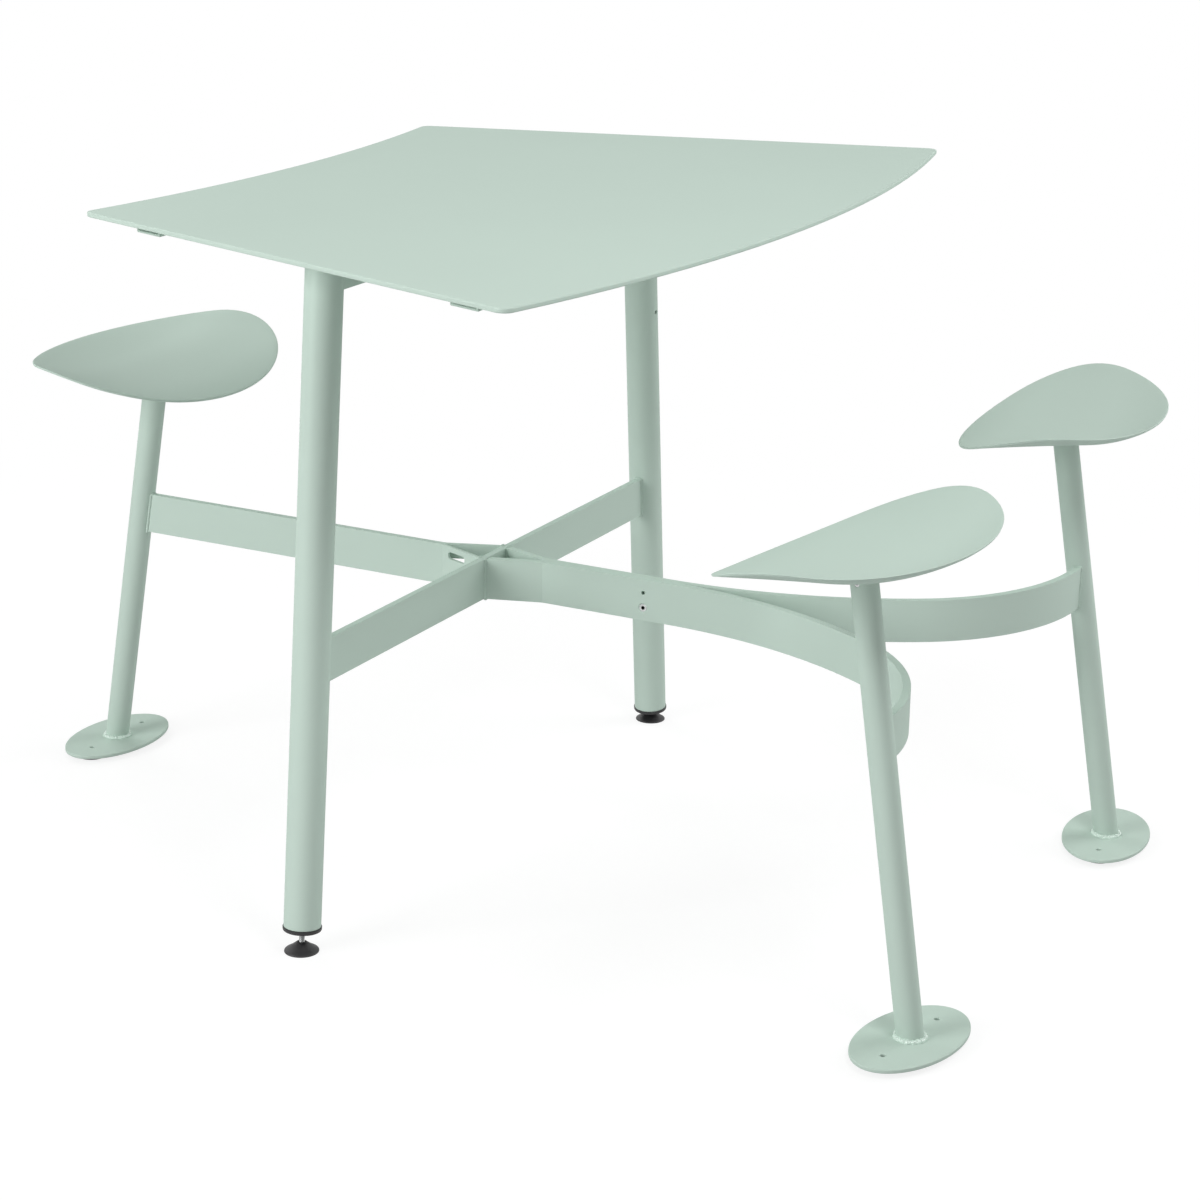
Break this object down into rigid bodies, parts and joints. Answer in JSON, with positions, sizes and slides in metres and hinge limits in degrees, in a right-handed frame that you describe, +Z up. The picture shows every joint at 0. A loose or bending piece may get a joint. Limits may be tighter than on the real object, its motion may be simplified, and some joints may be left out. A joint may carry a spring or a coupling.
{
  "type": "table with attached swivel seats",
  "caption": "Fan-shaped sheet-steel table on two leaning tube legs, with oval swivel seats on leaning posts joined to it by flat-bar arms.",
  "frame": {"origin": "on the floor, under the middle of the whole object's bounding box", "axes": "+X from the single inner seat towards the pair of outer seats, +Y from the front leg to the back leg, +Z up"},
  "size_m": [1.2468, 1.0196, 0.7235],
  "materials": {
    "mint_paint": "satin powder coat",
    "black_plastic": "matt",
    "zinc_steel": "zinc plated",
    "stainless": "plain",
    "bearing_plastic": "matt"
  },
  "bodies": {
    "frame": {"table_top": "mint_paint", "inner_top_stiffener": "mint_paint", "outer_top_stiffener": "mint_paint", "top_beam": "mint_paint", "top_studs": "zinc_steel", "top_nuts": "zinc_steel", "leg_stretcher": "mint_paint", "front_leg_cap_plate": "mint_paint", "front_leg_tube": "mint_paint", "front_leg_insert": "black_plastic", "front_leg_thread_bush": "zinc_steel", "back_leg_cap_plate": "mint_paint", "back_leg_tube": "mint_paint", "back_leg_insert": "black_plastic", "back_leg_thread_bush": "zinc_steel", "inner_arm_back_plate": "mint_paint", "inner_arm_front_plate": "mint_paint", "outer_back_arm": "mint_paint", "outer_front_arm": "mint_paint", "arm_clamp_screw": "stainless", "arm_clamp_nut": "zinc_steel", "inner_post": "mint_paint", "inner_floor_plate": "mint_paint", "inner_floor_glides": "black_plastic", "inner_base_weld": "mint_paint", "inner_upper_bush": "bearing_plastic", "inner_lower_bush": "bearing_plastic", "inner_lock_screw": "stainless", "outer_front_post": "mint_paint", "outer_front_floor_plate": "mint_paint", "outer_front_floor_glides": "black_plastic", "outer_front_base_weld": "mint_paint", "outer_front_upper_bush": "bearing_plastic", "outer_front_lower_bush": "bearing_plastic", "outer_front_lock_screw": "stainless", "outer_back_post": "mint_paint", "outer_back_floor_plate": "mint_paint", "outer_back_floor_glides": "black_plastic", "outer_back_base_weld": "mint_paint", "outer_back_upper_bush": "bearing_plastic", "outer_back_lower_bush": "bearing_plastic", "outer_back_lock_screw": "stainless"},
    "inner_seat": {"inner_seat_pan": "mint_paint", "inner_seat_hub": "mint_paint", "inner_seat_spindle": "zinc_steel"},
    "outer_front_seat": {"outer_front_seat_pan": "mint_paint", "outer_front_seat_hub": "mint_paint", "outer_front_seat_spindle": "zinc_steel"},
    "outer_back_seat": {"outer_back_seat_pan": "mint_paint", "outer_back_seat_hub": "mint_paint", "outer_back_seat_spindle": "zinc_steel"},
    "front_leg_pad": {"front_leg_foot_pad": "black_plastic"},
    "front_leg_stem": {"front_leg_foot_stem": "zinc_steel"},
    "back_leg_pad": {"back_leg_foot_pad": "black_plastic"},
    "back_leg_stem": {"back_leg_foot_stem": "zinc_steel"}
  },
  "joints": [
    {"name": "inner_seat_swivel", "type": "hinge", "parent": "frame", "child": "inner_seat", "pos_m": [-0.49858, 0, 0.474], "axis": [0.1633, 0, 0.9866], "continuous": true},
    {"name": "outer_front_seat_swivel", "type": "hinge", "parent": "frame", "child": "outer_front_seat", "pos_m": [0.49845, -0.28173, 0.474], "axis": [-0.1613, 0.0256, 0.9866], "continuous": true},
    {"name": "outer_back_seat_swivel", "type": "hinge", "parent": "frame", "child": "outer_back_seat", "pos_m": [0.49845, 0.28173, 0.474], "axis": [-0.1613, -0.0256, 0.9866], "continuous": true},
    {"name": "front_leg_pad_height", "type": "slide", "parent": "frame", "child": "front_leg_pad", "axis": [0, -0.0884, -0.9961], "range_m": [-0.008, 0.012]},
    {"name": "front_leg_stem_turn", "type": "hinge", "parent": "front_leg_pad", "child": "front_leg_stem", "pos_m": [-0.05205, -0.39609, 0.0046], "axis": [0, -0.0884, -0.9961], "range_deg": [-2880, 4320]},
    {"name": "back_leg_pad_height", "type": "slide", "parent": "frame", "child": "back_leg_pad", "axis": [0, 0.0884, -0.9961], "range_m": [-0.002, 0.012]},
    {"name": "back_leg_stem_turn", "type": "hinge", "parent": "back_leg_pad", "child": "back_leg_stem", "pos_m": [-0.05205, 0.39609, 0.0046], "axis": [0, 0.0884, -0.9961], "range_deg": [-720, 4320]}
  ],
  "couplings": [
    {"joint": "front_leg_stem_turn", "follows": "front_leg_pad_height", "rad_per_m": 6283.2},
    {"joint": "back_leg_stem_turn", "follows": "back_leg_pad_height", "rad_per_m": 6283.2}
  ]
}
